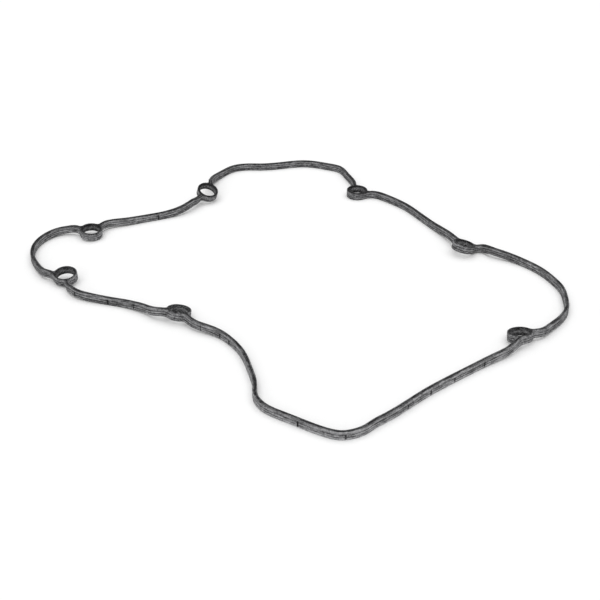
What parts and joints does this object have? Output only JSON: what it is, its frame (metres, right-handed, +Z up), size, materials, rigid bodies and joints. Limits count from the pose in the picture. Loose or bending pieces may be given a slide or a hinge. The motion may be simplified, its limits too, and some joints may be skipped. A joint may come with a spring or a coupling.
{
  "type": "valve cover gasket",
  "caption": "One-piece moulded rubber gasket: a slim grooved band in a closed irregular loop, with thick-walled bolt eyelets, lying slack.",
  "frame": {"origin": "middle of the loop's bounding box, on the table that it lies on", "axes": "+Z up from the table, through the loop; +X and +Y lie in the loop's plane, with the pointed corner of the loop towards -Y"},
  "size_m": [0.444, 0.4546, 0.0151],
  "materials": {
    "rubber": "mottled satin"
  },
  "bodies": {
    "root": {"gasket": "rubber"}
  },
  "joints": []
}
